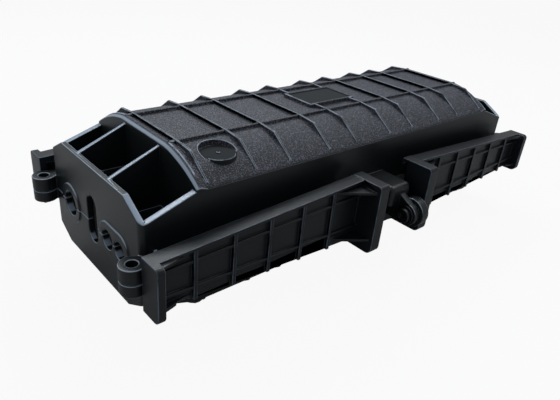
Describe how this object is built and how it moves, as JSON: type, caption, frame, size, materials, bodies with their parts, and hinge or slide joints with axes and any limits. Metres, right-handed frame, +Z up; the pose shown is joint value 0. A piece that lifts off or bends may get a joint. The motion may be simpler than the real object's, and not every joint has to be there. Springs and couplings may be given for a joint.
{
  "type": "in-line splice closure",
  "caption": "Ribbed black in-line splice closure in two half shells, held by tapered sliding side clamps, with cable ports at both ends and a hinged tray organiser inside.",
  "frame": {"origin": "middle of the body, halfway between the tops of the cover's and the base's ribs and 3 mm above the parting plane", "axes": "+X along the body towards the rear ports, +Z up through the cover"},
  "size_m": [0.4946, 0.263, 0.136],
  "materials": {
    "shell_plastic": "grained black moulding",
    "clamp_plastic": "smooth black moulding",
    "seal_rubber": "soft black rubber",
    "plated_steel": "zinc plated",
    "tray_plastic": "pale grey moulding",
    "lid_plastic": "clear sheet",
    "holder_plastic": "soft black comb",
    "carrier_plastic": "grey moulding"
  },
  "bodies": {
    "closure": {"anchor_bar_front": "plated_steel", "anchor_bar_rear": "plated_steel", "base_shell": "shell_plastic", "cable_saddle_front_1": "plated_steel", "cable_saddle_front_2": "plated_steel", "cable_saddle_rear_1": "plated_steel", "cable_saddle_rear_2": "plated_steel", "carrier_screw_1": "plated_steel", "carrier_screw_2": "plated_steel", "carrier_screw_3": "plated_steel", "carrier_screw_4": "plated_steel", "cover_shell": "shell_plastic", "lock_bolt_far": "plated_steel", "lock_bolt_near": "plated_steel", "lock_nut_far": "plated_steel", "lock_nut_near": "plated_steel", "lock_washer_far": "plated_steel", "lock_washer_near": "plated_steel", "pair_port_seal_front": "seal_rubber", "pair_port_seal_rear": "seal_rubber", "round_port_seal_front": "seal_rubber", "round_port_seal_rear": "seal_rubber", "saddle_screw_front_1a": "plated_steel", "saddle_screw_front_1b": "plated_steel", "saddle_screw_front_2a": "plated_steel", "saddle_screw_front_2b": "plated_steel", "saddle_screw_rear_1a": "plated_steel", "saddle_screw_rear_1b": "plated_steel", "saddle_screw_rear_2a": "plated_steel", "saddle_screw_rear_2b": "plated_steel", "side_seal_far": "seal_rubber", "side_seal_near": "seal_rubber", "slot_port_seal_front": "seal_rubber", "slot_port_seal_rear": "seal_rubber", "splice_holder_1": "holder_plastic", "splice_holder_2": "holder_plastic", "splice_holder_3": "holder_plastic", "splice_tray_1": "tray_plastic", "splice_tray_2": "tray_plastic", "splice_tray_3": "tray_plastic", "tray_carrier": "carrier_plastic", "tray_lid": "lid_plastic", "tray_pin_1": "plated_steel", "tray_pin_2": "plated_steel", "tray_pin_3": "plated_steel"},
    "clamp_front_far": {"clamp_front_far": "clamp_plastic"},
    "clamp_front_near": {"clamp_front_near": "clamp_plastic"},
    "clamp_rear_far": {"clamp_rear_far": "clamp_plastic"},
    "clamp_rear_near": {"clamp_rear_near": "clamp_plastic"}
  },
  "joints": [
    {"name": "slide_front_far", "type": "slide", "parent": "closure", "child": "clamp_front_far", "axis": [-1, 0, 0], "range_m": [0, 0.195]},
    {"name": "slide_front_near", "type": "slide", "parent": "closure", "child": "clamp_front_near", "axis": [-1, 0, 0], "range_m": [0, 0.195]},
    {"name": "slide_rear_far", "type": "slide", "parent": "closure", "child": "clamp_rear_far", "axis": [1, 0, 0], "range_m": [0, 0.195]},
    {"name": "slide_rear_near", "type": "slide", "parent": "closure", "child": "clamp_rear_near", "axis": [1, 0, 0], "range_m": [0, 0.195]}
  ]
}
